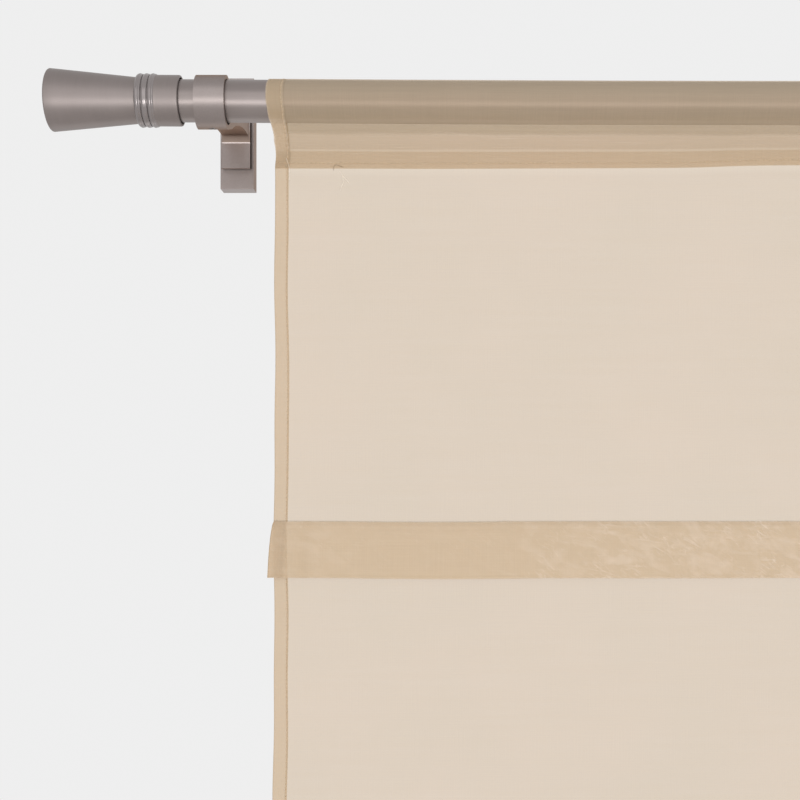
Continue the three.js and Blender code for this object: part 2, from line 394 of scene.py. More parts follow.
def finialProfile(label):
    spigotEnd, collarEnd = spanOut("finial_collar_" + label)
    collarStart, collarRadius = spigotEnd + finial["spigot"], radiusOf("finial_collar_" + label)
    inside, innerLip, outerLip = finial["mouth"], finial["innerLip"], finial["outerLip"]
    spigot, edge = rodRadius - rodSizes["wall"] - finial["slack"], finial["spigotEdge"]
    floorAt = rodHalf + finial["slack"]  # where the tube's end stops inside the collar
    profile = [(spigotEnd, 0), (spigotEnd, spigot - edge), (spigotEnd + edge, spigot), (floorAt, spigot)]
    profile += [(floorAt, inside), (collarStart + innerLip, inside)]
    profile += curve(collarStart + innerLip, inside + innerLip, innerLip, 180, 270, 3)
    profile += curve(collarStart + outerLip, collarRadius - outerLip, outerLip, -90, 0, 6)

    arc, pitch, steps = finial["beadArc"], finial["beadPitch"], finial["beadSteps"]
    wide, deep = finial["groove"]
    notchAt, notchWide = finial["notchAt"]
    beadSize = (pitch - wide) / 2 / math.sin(math.radians(arc))
    beadCentre = finial["beadReach"] - beadSize
    valley = beadCentre + beadSize * math.cos(math.radians(arc)) - deep
    start, shoulder = collarEnd - finial["beadStart"], finial["shoulder"]
    for place in (collarStart + 3 * outerLip, start - 2 * shoulder, start - 0.5 * shoulder):
        profile.append((place, collarRadius))
    for i, notchDeep in enumerate(finial["notches"]):
        middle = start + pitch * (i + 0.5)
        if i > 0:
            profile.append((middle - pitch / 2 + wide / 4, valley))
        for k, (place, radius) in enumerate(curve(middle, beadCentre, beadSize, -arc, arc, steps)):
            cut = notchDeep * math.exp(-((k / steps - notchAt) / notchWide) ** 2)
            if i > 0 or k > steps / 2 or radius > collarRadius:
                profile.append((place, radius - cut))
        profile.append((middle + pitch / 2 - wide / 4, valley))

    neckAt, neck = start + len(finial["notches"]) * pitch + finial["neckStep"], finial["neck"]
    mouth = spanOut("finial_trumpet_" + label)[1] - finial["shorter"]
    mouthRadius = radiusOf("finial_trumpet_" + label)
    rim, rings = finial["rim"], finial["coneRings"]
    dish, dishRadius = finial["dish"], finial["dishRadius"]
    inwards, corner = finial["dishCorner"]
    profile.append((neckAt, neck))
    for i in range(1, rings):
        share = i / rings
        profile.append((neckAt + (mouth - rim - neckAt) * share, neck + (mouthRadius - neck) * share))
    profile += curve(mouth - rim, mouthRadius - rim, rim, 5, 90, 6)
    profile += curve(mouth - dish, dishRadius - inwards, corner, 60, 10, 3)
    profile += [(mouth - dish, dishRadius * 0.6), (mouth - dish * 0.8, 0)]
    return profile


for side, label in ((-1, "left"), (1, "right")):
    knob = turn("finial_" + label, finialProfile(label), side)
    followRod(knob)
    dress(knob, turnedNickel)
    beadsFrom = spanOut("finial_collar_" + label)[1]
    beadsTo = beadsFrom + len(finial["notches"]) * finial["beadPitch"]
    dressPart(knob, reededNickel, lambda face: beadsFrom < abs(face.center.x) < beadsTo)
    handOver(knob, "satin_nickel", "finial_trumpet_" + label, "finial_collar_" + label)
print("finials made")

bracket = {
    "ringDrop": 1.0 * mm,
    "ringRadius": 17.7 * mm,
    "bore": 15.0 * mm,
    "boreRise": 0.3 * mm,
    "hole": {"radius": 2.3 * mm, "depth": 5 * mm, "vertices": 32},  # for the screw
    "holeRise": 0.6 * mm,  # of its middle above the ring's underside
    "patch": (-66, 62),  # degrees of the ring that the arm grows out of
    "patchSkin": 0.5 * mm,
    "armStart": 20 * mm,  # distances are behind the rod's axis
    "underside": ((20, -14.0), (54, 0.8), (97, 1.1)),  # start, bend and end of its arch, in mm
    "armTop": (15.2 * mm, 13.0 * mm),
    "archSteps": 10,
    "fillet": 5 * mm,
    "filletSteps": 12,
    "filletFlat": 1.45,  # 1 is round, more is nearer to a chamfer
    "edge": 0.45 * mm,
    "footDeep": 5.7 * mm,
    "footSpread": 0.75 * mm,  # each side, beyond the arm
    "footDraft": 0.60 * mm,  # each side, from the foot's face to its back
    "reveal": (2.4 * mm, 2.0 * mm),  # groove between foot and wall plate: wide, deep
    "highlightLine": (-0.1 * mm, 0.9 * mm),  # painted highlight: from and to, above the foot's lower edge
    "shadedSideDeep": 5.2 * mm,  # part of the foot's sides that carries the painted shade
    "archFinish": (18.5 * mm, 5.75 * mm, 6 * mm),  # from the axis, to the arm's back, and up to
    "ringFinish": (11 * mm, 0.8 * mm),  # up to this far behind the axis, and this thick
}


def archPoint(t):
    places = []
    for start, bend, end in zip(*bracket["underside"]):
        places.append(((1 - t) ** 2 * start + 2 * t * (1 - t) * bend + t * t * end) * mm)
    return places


def armStations(footFront, footBack, footLow, footHigh):  # (behind, low, high, narrower) from ring to plate
    topStart, topEnd = bracket["armTop"]
    fillet, flat = bracket["fillet"], bracket["filletFlat"]
    filletAt = footFront - fillet
    rows = []
    for i in range(bracket["archSteps"] + 1):
        behind, low = archPoint(i / bracket["archSteps"])
        share = (behind - bracket["armStart"]) / (filletAt - bracket["armStart"])
        rows.append((behind, low, topStart + (topEnd - topStart) * share, 0))
    under = rows[-1][1]
    for i in range(bracket["filletSteps"] + 1):
        angle = math.radians(90 * i / bracket["filletSteps"])
        flare = fillet * (1 - max(0, math.cos(angle)) ** flat)
        behind = filletAt + fillet * math.sin(angle) ** flat
        rows.append((behind, under - flare, topEnd + flare, 0))
    wide, deep = bracket["reveal"]
    spread = -bracket["footSpread"]
    rows[-3:] = [(behind, low, high, spread) for behind, low, high, _ in rows[-3:]]
    rows.append((footFront, footLow, footHigh, spread))
    rows.append((footBack - wide, footLow, footHigh, spread - bracket["footDraft"]))
    for behind in (footBack - wide, footBack):
        rows.append((behind, footLow + deep, footHigh - deep, deep))
    return rows


def growArm(x, rows, low, high, width):
    narrowed = 0
    for behind, rowLow, rowHigh, narrower in rows:
        extrude()
        resize((1, 0, 1), (x, axisY + behind, axisZ))
        bpy.ops.transform.translate(value=(0, 0, rowLow - low))
        across = (width - 2 * narrower) / (width - 2 * narrowed)
        resize((across, 1, (rowHigh - rowLow) / (high - low)), (x, axisY + behind, rowLow))
        low, high, narrowed = rowLow, rowHigh, narrower


def isCap(face):
    return len(face.verts) > 4


def buildBracket(label):
    armLow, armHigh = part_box("bracket_arm_" + label)
    x, width = (armLow[0] + armHigh[0]) / 2, armHigh[0] - armLow[0]
    ringZ, ringRadius = axisZ - bracket["ringDrop"], bracket["ringRadius"]
    arm = beginEdit(
        "bracket_" + label, bpy.ops.mesh.primitive_cylinder_add, vertices=shared["roundSides"],
        radius=ringRadius, depth=width, location=(x, axisY, ringZ), rotation=(0, math.pi / 2, 0),
    )
    pick("FACE", isCap)
    bpy.ops.mesh.inset(thickness=ringRadius - bracket["bore"], use_individual=True)
    bpy.ops.transform.translate(value=(0, 0, bracket["boreRise"]))
    bpy.ops.mesh.bridge_edge_loops()
    first, last = bracket["patch"]

    def onPatch(face):
        place = face.calc_center_median()
        up, behind = place.z - ringZ, place.y - axisY
        outside = math.hypot(up, behind) > ringRadius - bracket["patchSkin"]
        return abs(face.normal.x) < 0.1 and outside and first < math.degrees(math.atan2(up, behind)) < last

    pick("FACE", onPatch)
    heights = [v.co.z for v in bmesh.from_edit_mesh(arm.data).verts if v.select]
    footFront, footBack = armHigh[1] - bracket["footDeep"] - axisY, armHigh[1] - axisY
    rows = armStations(footFront, footBack, armLow[2], armHigh[2])
    growArm(x, rows, min(heights), max(heights), width)
    endEdit(arm)
    drillAt = (x, axisY, ringZ - ringRadius + bracket["holeRise"])
    drill = addPlain(bpy.ops.mesh.primitive_cylinder_add, location=drillAt, **bracket["hole"])
    cut = arm.modifiers.new("hole", "BOOLEAN")
    cut.object = drill
    cut.solver = "EXACT"
    onlyThis(arm)
    bpy.ops.object.modifier_apply(modifier=cut.name)
    bpy.data.objects.remove(drill)
    applyBevel(arm, bracket["edge"])

    footLow = rows[bracket["archSteps"] + bracket["filletSteps"] + 1][1]
    archBehind, archBefore, archTop = bracket["archFinish"]
    ringBehind, ringSkin = bracket["ringFinish"]

    def onRing(face):
        out = math.hypot(face.center.y - axisY, face.center.z - ringZ)
        return out > ringRadius - ringSkin and face.center.y < axisY + ringBehind

    def onArch(face):
        place = face.center
        between = axisY + archBehind < place.y < armHigh[1] - archBefore
        return between and abs(face.normal.x) < 0.5 and place.z < axisZ + archTop

    def onLine(face):  # where the fillet ends in the foot's face, given a painted highlight
        lineFrom, lineTo = bracket["highlightLine"]
        onFoot = face.center.y > axisY + bracket["underside"][1][0] * mm and face.normal.y < -0.5
        return onFoot and lineFrom < face.center.z - footLow < lineTo

    # the foot's sides and the groove behind them take a dark finish: painted shade
    def onFootSide(face):
        place = face.center
        inReveal = place.y > armHigh[1] - bracket["reveal"][0] - 0.1 * mm
        return place.y > armHigh[1] - bracket["shadedSideDeep"] and (abs(face.normal.x) > 0.6 or inReveal)

    dress(arm, castNickel)
    dressPart(arm, ringNickel, onRing)
    dressPart(arm, archShadeNickel, onArch)
    dressPart(arm, footHighlightNickel, onLine)
    dressPart(arm, footShadeNickel, onFootSide)
    handOver(arm, "satin_nickel", "bracket_arm_" + label)


screw = {
    "socket": 1.1 * mm,
    "deep": 1.6 * mm,
    "edge": 0.25 * mm,
    "tones": ((0.20, 0.18, 0.17), (0.26, 0.235, 0.225)),
    "specksPerMetre": 1500,
}


def screwSteel():
    n = Nodes("greyScrewSteel")
    speck = n.noise(n.place(), screw["specksPerMetre"], detail=3)
    n.surface({
        "Base Color": n.blend(speck, *screw["tones"]),
        "Roughness": n.remap(speck, 0.3, 0.7, 0.35, 0.55),
        "Metallic": 0.8,
    })
    n.bump(speck, 0.15, 0.05 * mm)
    return n.material


def buildScrew(label, finish):
    low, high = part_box("bracket_screw_" + label)
    x, radius, edge = (low[0] + high[0]) / 2, (high[0] - low[0]) / 2, screw["edge"]
    grub = beginEdit(
        "screw_" + label, bpy.ops.mesh.primitive_cylinder_add, vertices=24, radius=radius,
        depth=high[2] - low[2], location=(x, axisY, (low[2] + high[2]) / 2),
    )
    pick("FACE", isCap)
    bpy.ops.mesh.inset(thickness=edge, depth=0, use_individual=True)
    pick("FACE", lambda face: isCap(face) and face.normal.z < -0.9)
    bpy.ops.mesh.inset(thickness=radius - edge - screw["socket"])
    extrude(z=screw["deep"])

    def onRim(item):
        ends = [v.co for v in item.verts]
        off = [abs(math.hypot(end.x - x, end.y - axisY) - radius) for end in ends]
        return max(*off, abs(ends[0].z - ends[1].z)) < shared["weld"]

    pick("EDGE", onRim)
    bpy.ops.mesh.bevel(offset=edge, segments=2)
    endEdit(grub)
    dress(grub, finish)
    handOver(grub, "screw_steel", "bracket_screw_" + label)


wallPlate = {
    "edge": 0.5 * mm,
    "spread": 0.85 * mm,  # each side
    "lower": 0.51 * mm,
    "backRim": 2.4 * mm,
    "backDeep": 0.6 * mm,
}


def buildPlate(label):
    low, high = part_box("wall_plate_" + label)
    spread = wallPlate["spread"]
    low, high = low + Vector((-spread, 0, -wallPlate["lower"])), high + Vector((spread, 0, 0))
    plate = beginEdit(
        "wallPlate_" + label, bpy.ops.mesh.primitive_cube_add, size=1,
        location=tuple((a + b) / 2 for a, b in zip(low, high)), scale=tuple(b - a for a, b in zip(low, high)),
    )
    pick("FACE", lambda face: face.normal.y > 0.9)
    bpy.ops.mesh.inset(thickness=wallPlate["backRim"])
    extrude(y=-wallPlate["backDeep"])
    endEdit(plate)
    applyBevel(plate, wallPlate["edge"], segments=3)
    dress(plate, castNickel)
    dressPart(plate, plateBottomLightNickel, lambda face: face.normal.z < -0.5)
    handOver(plate, "satin_nickel", "wall_plate_" + label)


screwFinish = screwSteel()
for label in ("left", "right"):
    buildBracket(label)
    buildScrew(label, screwFinish)
    buildPlate(label)
print("brackets made")

cloth = {
    "halfWidth": 400 * mm,
    "drop": 1400 * mm,
    "seam": 45.2 * mm,  # lower edge of the pocket, below the rod's axis
    "stitching": 41.5 * mm,
    "turnUnder": 12.6 * mm,
    "sideHem": 9.1 * mm,
    "sideTurn": 1.3 * mm,
    "bottomHem": 25 * mm,
    "bottomTurn": 7 * mm,
    "ply": 0.22 * mm,  # between the layers of a side hem
    "fold": 0.9 * mm,  # between the two layers of a crosswise fold
    "offRod": 0.65 * mm,
    "crease": (-4.4 * mm, -22.9 * mm),  # where the pocket's front breaks below the rod
    "column": 3.75 * mm,
    "hemColumns": 12 * mm,  # of closer columns at each side
}

tuck = {
    "seam": 281.9 * mm,  # below the rod's axis
    "deep": 36.85 * mm,
    "standOff": 2.6 * mm,
    "flare": 4.1 * mm,
}

edgeLine = (  # below the rod's axis, and how far out the side edge lies, in mm
    (-16, 3.2), (-8, 4.6), (2, 4.7), (8, 3.9), (13, 3.4), (16, 2.2), (19.5, 1.3), (23, 0.4), (28, 0.3),
    (31.5, -0.5), (38, -0.8), (43.5, -0.1), (50, -0.3), (120, 0.2), (281, 0.5), (470, 1.5), (900, -1.5),
    (1400, 2.0),
)

seamLine = (  # across, and how much higher the pocket's seam lies, in mm
    (-400, 0), (-330, -0.1), (-300, -0.3), (-230, 0), (-170, 0.2), (-120, 0.5), (-85, 1.9), (-40, 2.3),
    (60, 1.9), (140, 0.6), (220, 0), (300, 0.5), (400, 0.2),
)

ripples = (  # height is at the bottom edge; all in mm
    {"length": 430, "height": 6.5, "start": 70, "drift": 60},
    {"length": 236, "height": 3.6, "start": 20, "drift": -45},
    {"length": 151, "height": 1.5, "start": 95, "drift": 30},
)

lie = {  # how the hung cloth settles, in metres; (start, length) is a soft step
    "offRod": (0.018, 0.026),
    "seam": ((0.018, 0.024), (0.047, 0.05)),  # its own line comes in, and goes out
    "tuck": ((0.20, 0.07), (0.33, 0.08)),  # and so does the tuck's dip
    "dip": (0.45 * mm, 0.30, 0.055, 0.12 * mm),  # height, place, width, and rise elsewhere
    "edgeReach": 0.13,  # how far inwards the side edge's line is felt
    "hemOnRod": 1.1 * mm,  # wider where it goes round the rod
}

waves = {  # height and length of the slower and of the quicker one
    "edge": (0.35 * mm, 0.031, 0.25 * mm, 0.0137),
    "flap": (0.5 * mm, 0.052, 0.35 * mm, 0.023),
    "hem": (0.25 * mm, 0.043, 0.2 * mm, 0.0171),
    "crease": (0.22 * mm, 0.021, 0.18 * mm, 0.0083),
}


def clothPath():  # the cloth cut through: (behind the rod's axis, height)
    seam, stitching, fold, drop, bottomHem = (
        cloth[key] for key in ("seam", "stitching", "fold", "drop", "bottomHem")
    )
    onRod = rodRadius + cloth["offRod"]
    touch = -90 + math.degrees(math.acos(onRod / seam))  # where the cloth leaves the rod on the wall side
    atTouch = (onRod * math.cos(math.radians(touch)), onRod * math.sin(math.radians(touch)))
    slope = (atTouch[0] - fold) / (atTouch[1] + stitching)
    tip = cloth["turnUnder"] - (seam - stitching)
    points = [(fold * 0.45 + slope * tip, -stitching + tip)]

    def leg(behind, height, spacing):  # straight, with a point every spacing or less, in mm
        start, end = points[-1], (behind, height)
        steps = max(1, math.ceil(math.dist(start, end) / (spacing * mm)))
        for i in range(1, steps + 1):
            points.append(tuple(start[k] + (end[k] - start[k]) * i / steps for k in range(2)))

    def bend(behind, height, radius, fromDegrees, toDegrees, steps):
        for i in range(steps + 1):
            angle = math.radians(fromDegrees + (toDegrees - fromDegrees) * i / steps)
            points.append((behind + radius * math.cos(angle), height + radius * math.sin(angle)))

    leg(fold * 0.45, -stitching, 1.2)
    leg(fold * 0.45, -seam + fold * 0.5, 1.2)
    bend(fold * 0.8, -seam + fold * 0.5, fold * 0.35, 180, 350, 5)
    leg(fold, -stitching, 1.2)
    leg(*atTouch, 1.6)
    bend(0, 0, onRod, touch + 4, 184 - touch, 48)
    creaseOut, creaseAt = cloth["crease"]
    leg(creaseOut - 1.1 * mm, creaseAt + 2 * mm, 1.5)
    leg(creaseOut, creaseAt, 0.45)
    leg(creaseOut + 0.35 * mm, creaseAt - 1.8 * mm, 0.45)
    underEdge = seam - cloth["turnUnder"]
    leg(-1.75 * mm, -underEdge + 1.6 * mm, 1.5)
    leg(-1.2 * mm, -underEdge - 1.0 * mm, 0.5)
    leg(0, -stitching, 1.5)
    leg(0, -seam, 1.2)
    top, off = tuck["seam"], tuck["standOff"]
    flapEnd = -top - tuck["deep"] + fold / 2
    leg(0, -top + 8 * mm, 5.5)
    leg(0, -top + 0.4 * mm, 1.6)
    bend(-0.45 * mm, -top + 0.4 * mm, 0.45 * mm, 15, 165, 6)
    leg(-0.9 * mm - 0.03 * off, -top - 1.0 * mm, 0.5)
    leg(-off * 0.97 - fold * 1.3, flapEnd + 1.0 * mm, 1.5)
    leg(-off - fold * 1.3, flapEnd, 0.5)
    bend(-off - fold * 0.8, flapEnd, fold / 2, 190, 350, 6)
    leg(-0.65 * mm, -top + 0.1 * mm, 1.5)
    bend(-0.4 * mm, -top + 0.15 * mm, 0.25 * mm, 170, 10, 5)
    leg(0, -top - 5 * mm, 1.4)
    leg(0, -470 * mm, 6.0)
    leg(0, -drop + bottomHem + 10 * mm, 14)
    leg(0, -drop + fold / 2, 3.2)
    bend(fold / 2, -drop + fold / 2, fold / 2, 190, 350, 5)
    leg(fold, -drop + bottomHem - fold / 4, 3.2)
    bend(fold * 0.75, -drop + bottomHem - fold / 4, fold / 4, 10, 170, 3)
    leg(fold / 2, -drop + bottomHem - cloth["bottomTurn"], 3.2)
    apart = [points[0]] + [b for a, b in zip(points[:-1], points[1:]) if math.dist(a, b) > 0.02 * mm]
    return np.array(apart)


path = clothPath()
steps = np.linalg.norm(np.diff(path, axis=0), axis=1)
along = np.concatenate([[0], np.cumsum(steps)])  # length of cloth from its top raw edge
heading = np.gradient(path, along, axis=0)
heading /= np.linalg.norm(heading, axis=1)[:, None]
reverseSide = np.stack([-heading[:, 1], heading[:, 0]], axis=1)  # away from the cloth's face
tuckStart = int(np.argmax(path[:, 1] < -tuck["seam"] + 0.5 * mm))
backInPlane = (path[tuckStart:, 0] > -0.02 * mm) & (path[tuckStart:, 1] < -tuck["seam"] - 4 * mm)
tuckEnd = tuckStart + int(np.argmax(backInPlane))
topRow, hemRow = int(np.argmax(path[:, 1])), int(np.argmin(path[:, 1]))
pocketRow = int(np.argmin(path[:topRow, 1]))
stretches = {
    "back": slice(pocketRow, topRow), "front": slice(topRow, tuckStart),
    "panel": slice(tuckEnd, hemRow), "hem": slice(hemRow, len(path)),
}
half = cloth["halfWidth"]
flapTop, flapFold = along[tuckStart], along[tuckStart] + tuck["deep"]
frontSeam = along[tuckStart] - (tuck["seam"] - cloth["seam"])  # the pocket's seam, in the front layer
flapShare = np.zeros(len(path))
flapShare[tuckStart:tuckEnd] = np.clip((-path[tuckStart:tuckEnd, 1] - tuck["seam"]) / tuck["deep"], 0, 1)
print("cloth path", len(path), "rows,", round(along[-1], 3), "m long, tuck rows", tuckStart, tuckEnd)


def alongAt(stretch, below):  # place along the cloth
    rows = stretches[stretch]
    order = np.argsort(path[rows, 1])
    return float(np.interp(-below, path[rows, 1][order], along[rows][order]))


def rise(place, start, length):  # smoothly from 0 to 1
    t = np.clip((place - start) / length, 0, 1)
    return t * t * (3 - 2 * t)


def ridge(place, width):  # 1 in the middle
    return np.exp(-(place / width) ** 2)


def wavy(kind, place, shift=0, quickShift=0):
    high, long, quickHigh, quickLong = waves[kind]
    return high * np.sin(place / long + shift) + quickHigh * np.sin(place / quickLong + quickShift)


def softLine(table, place, soft):  # through the table's points, with the corners softened
    rows = np.array(table) * mm
    return sum(np.interp(place + k * soft, rows[:, 0], rows[:, 1]) for k in (-1, -0.5, 0, 0.5, 1)) / 5


def settle(x, below):  # how the pocket follows the rod's sag and its own wavy seam
    height, middle, width, elsewhere = lie["dip"]
    dip = height * ridge(x + middle, width) - elsewhere
    onRod = 1 - rise(below, *lie["offRod"])
    atSeam, atTuck = (rise(below, *lie[key][0]) * (1 - rise(below, *lie[key][1])) for key in ("seam", "tuck"))
    return softLine(seamLine, x, 12 * mm) * atSeam - sagAt(x) * onRod - dip * atTuck


def swing(x, below):
    share = np.clip((below - cloth["seam"]) / (cloth["drop"] - cloth["seam"]), 0, 1)
    total = np.zeros(np.shape(share))
    for r in ripples:
        phase = (x / mm + r["start"] + r["drift"] * share) / r["length"]
        total = total + r["height"] * mm * np.sin(phase * 2 * math.pi)
    return total * share ** 1.4


dice = np.random.default_rng(7)
upperPocket = (frontSeam - 30 * mm, frontSeam - 17 * mm)
lowerPocket = (frontSeam - 13 * mm, frontSeam - 2 * mm)
creaseTable = {  # how many, across, along; length, width and height in mm; lean and its spread in degrees
    "tuck": (
        (150, (-0.24, half), (flapTop, flapFold), (5, 14), (1.8, 3.6), (-0.22, 0.34), (24, 24)),
        (40, (-half, -0.24), (flapTop, flapFold), (5, 14), (2, 4), (-0.14, 0.18), (20, 22)),
    ),
    "pocket": (
        (90, (-half, half), upperPocket, (10, 34), (1.6, 3), (-0.12, 0.3), (0, 5)),
        (60, (-half, half), lowerPocket, (14, 45), (1.4, 2.4), (-0.1, 0.22), (0, 3)),
    ),
    "hem": (
        (70, (-half, -half + 0.012), (0, along[-1]), (3, 8), (2, 4), (-0.15, 0.2), (50, 25)),
        (70, (half - 0.012, half), (0, along[-1]), (3, 8), (2, 4), (-0.15, 0.2), (-50, 25)),
    ),
}


def scatter(count, *limits):  # short soft folds
    rows = []
    for _ in range(count):
        x, t, length, width, height = (dice.uniform(*pair) for pair in limits[:5])
        rows.append((x, t, length * mm, width * mm, height * mm, math.radians(dice.normal(*limits[5]))))
    return rows


creases = [[crease for row in rows for crease in scatter(*row)] for rows in creaseTable.values()]


def creaseLift(rows, x, t):
    total = np.zeros(np.shape(x))
    for creaseX, creaseT, length, width, height, lean in rows:
        dx, dt = x - creaseX, t - creaseT
        lengthwise = dx * math.cos(lean) + dt * math.sin(lean)
        across = -dx * math.sin(lean) + dt * math.cos(lean)
        far = (lengthwise / length) ** 2 + (across / width) ** 2
        total = total + np.where(far < 9, height * np.exp(-far), 0)
    return np.clip(total, -0.3 * mm, 0.4 * mm)


def hang(x, lift, t):  # points of the cloth, from their places on it and their lift off its reverse side
    u, v, nu, nv, flap = (np.interp(t, along, values) for values in (*path.T, *reverseSide.T, flapShare))
    below = -v
    nearEdge = np.clip(1 - (half - np.abs(x)) / lie["edgeReach"], 0, 1)
    out = softLine(edgeLine, below, np.clip(below * 0.06, 1.5 * mm, 40 * mm)) + tuck["flare"] * flap ** 0.55
    out = out + wavy("edge", below, 1.3 * np.sign(x), x * 3) * np.clip(below / 0.08, 0, 1)
    for rows in creases:
        lift = lift + creaseLift(rows, x, t)
    px = x + np.sign(x) * out * nearEdge
    py = axisY + u + nu * lift + swing(x, below) - flap * wavy("flap", x, 0, 1)
    pz = axisZ + v + nv * lift + settle(x, below)
    return np.stack([px, py, pz], axis=-1)


def hemWidth(t):  # side hem, slightly uneven, and wider where it goes round the rod
    onRod = rise(np.interp(t, along, path[:, 1]), -0.022, 0.014)
    return cloth["sideHem"] + lie["hemOnRod"] * onRod + wavy("hem", t, 0, 2)


def hemColumns():  # each is (measured from, share of the hem or distance inwards, lift)
    turned, ply = cloth["sideTurn"], cloth["ply"]
    rows = [("fold", turned * (2 - k) / 2, 0.5 * ply) for k in range(3)]
    rows.append(("fold", -0.10 * mm, 0.75 * ply))
    shares = (0, 0.05, 0.11, 0.3, 0.5, 0.7, 0.87, 0.94, 1.0)
    rows += [("hem", share, ply) for share in shares[::-1]]
    rows.append(("edge", -0.10 * mm, 0.5 * ply))
    rows += [("hem", share, 0.0) for share in shares + (1.06, 1.12)]
    return rows


strength = {  # of each mark on the cloth
    "paintedLight": {"tuck": 1.0, "hem": 0.5, "turnedUnder": 0.42},
    "shaded": {
        "underRod": 1.0, "pocket": 0.36, "tuckSeam": 0.3, "tuckMark": 0.10, "tuckFold": 0.15, "hemStep": 0.4,
        "sideEdge": 0.5,
    },
}


def strongest(mark, masks):
    return np.maximum.reduce([strength[mark].get(key, 1) * mask for key, mask in masks.items()])


def clothMarks(x, t, lift):
    below = -np.interp(t, along, path[:, 1])
    inset, hemEdge = half - np.abs(x), hemWidth(t)
    underEdge = cloth["seam"] - cloth["turnUnder"]
    onTuck = (t > flapTop) & (t < flapFold + tuck["deep"])
    onFront = (t > along[topRow]) & (lift == 0)
    onHem = inset < hemEdge + 0.1 * mm
    inPocket = below < cloth["seam"]
    crease = wavy("crease", x, 0, 1) - cloth["crease"][1]
    creaseTop = ridge(below - crease, 0.8 * mm) * (0.6 + 0.4 * np.sin(x / 0.037 + 2))
    rawEdge = underEdge - 0.5 * mm + 0.15 * mm * np.sin(x / 0.034)
    rawLine = ridge(below - rawEdge, 0.5 * mm) * rise(x, -0.32, 0.03)
    rawLine = rawLine * (0.65 + 0.35 * np.sin(x / 0.026 + 1.5 * np.sin(x / 0.011)))
    # rim: painted highlights along the hem's edges, the pocket's crease and the raw edge, and painted light
    # on the hem over the tuck; on the hem in the pocket a pale dotted speckle
    edges = np.maximum(ridge(inset, 0.5 * mm), 0.8 * ridge(inset - hemEdge + 0.3 * mm, 0.4 * mm))
    rim = np.clip((edges * (below < 32 * mm) + 0.3 * creaseTop + 0.3 * rawLine) * onFront, 0, 1)
    pocketHem = onHem * onFront * (below > 14 * mm) * inPocket
    besideHem = onFront * (inset > hemEdge)
    aboveCrease = 1 - rise(below - crease, -2 * mm, 2.8 * mm)
    return {
        # where the tuck's painted glints show, stronger towards the right
        "crinkleGlint": onTuck * (0.2 + 1.2 * rise(x, -0.27, 0.10) + 0.4 * (1 - rise(x, -0.38, 0.05))),
        # lighter where the cloth lies in layers and over the rod: painted light
        "paintedLight": strongest("paintedLight", {
            "tuck": onTuck,
            "hem": onHem,
            "hemOnRod": (0.8 - 0.35 * rise(below, 0.006, 0.006)) * onHem * (below < 16 * mm),
            "rod": (0.5 + 0.35 * rise(-below, -0.004, 0.010)) * (below < 15.9 * mm),
            "turnedUnder": (below > underEdge) & (below < cloth["seam"] + 0.5 * mm),
        }),
        "level": rise(below, 0.014, 0.004) * inPocket * onFront,
        "shaded": strongest("shaded", {
            "underRod": aboveCrease * rise(below, 0.0156, 0.0008) * besideHem,
            "pocket": rise(below, 0.025, 0.009) * (below < rawEdge) * besideHem,
            "tuckSeam": (t - flapTop < 0.6 * mm) * onTuck,
            "tuckMark": ridge(x + 0.3775, 0.0038) * onTuck,
            "tuckFold": np.abs(t - flapFold) < 0.8 * mm,
            "hemStep": ridge(inset - hemEdge - 0.55 * mm, 0.35 * mm) * (below < 60 * mm),
            "sideEdge": ridge(inset, 0.35 * mm) * (below > 40 * mm),
        }),
        "rim": rim + 0.22 * onHem * onTuck + pocketHem * (0.40 - 0.22 * rise(below, 0.033, 0.004)),
    }


def buildCurtain():
    hem, width, count = cloth["sideHem"], hemWidth(along), len(along)
    columns = []  # each is (across, lift, across on the flat cloth)

    def addHem(side, rows):
        for kind, value, lift in rows:
            if kind == "fold":
                inset, flat = width - value, -hem - max(0.0, value)
            elif kind == "hem":
                inset, flat = width * value, hem * value if lift == 0 else -hem * value
            else:
                inset, flat = np.full(count, value), 0.0
            columns.append((side * (half - inset), lift, side * (half - flat)))

    reach = half - cloth["hemColumns"]
    addHem(-1, hemColumns())
    for place in np.linspace(-reach, reach, int(2 * reach / cloth["column"])):
        columns.append((place, 0.0, place))
    addHem(1, hemColumns()[::-1])
    x, lift, flat = (np.stack([np.full(count, column[k]) for column in columns], axis=1) for k in range(3))
    t = np.repeat(along[:, None], len(columns), axis=1)
    index = np.arange(x.size).reshape(x.shape)
    corners = (index[:-1, :-1], index[1:, :-1], index[1:, 1:], index[:-1, 1:])
    quads = np.stack(corners, axis=-1).reshape(-1, 4)
    panel = smoothPiece("curtainPanel", hang(x, lift, t).reshape(-1, 3), quads)
    flatPlace = np.stack([flat, t], axis=-1).reshape(-1, 2)[quads.reshape(-1)]
    panel.data.uv_layers.new(name="clothUv").data.foreach_set("uv", np.ravel(flatPlace).astype(np.float32))
    for name, values in clothMarks(x, t, lift).items():
        addMark(panel, name, values)
    print("curtain", len(quads) * 2, "triangles")
    return panel


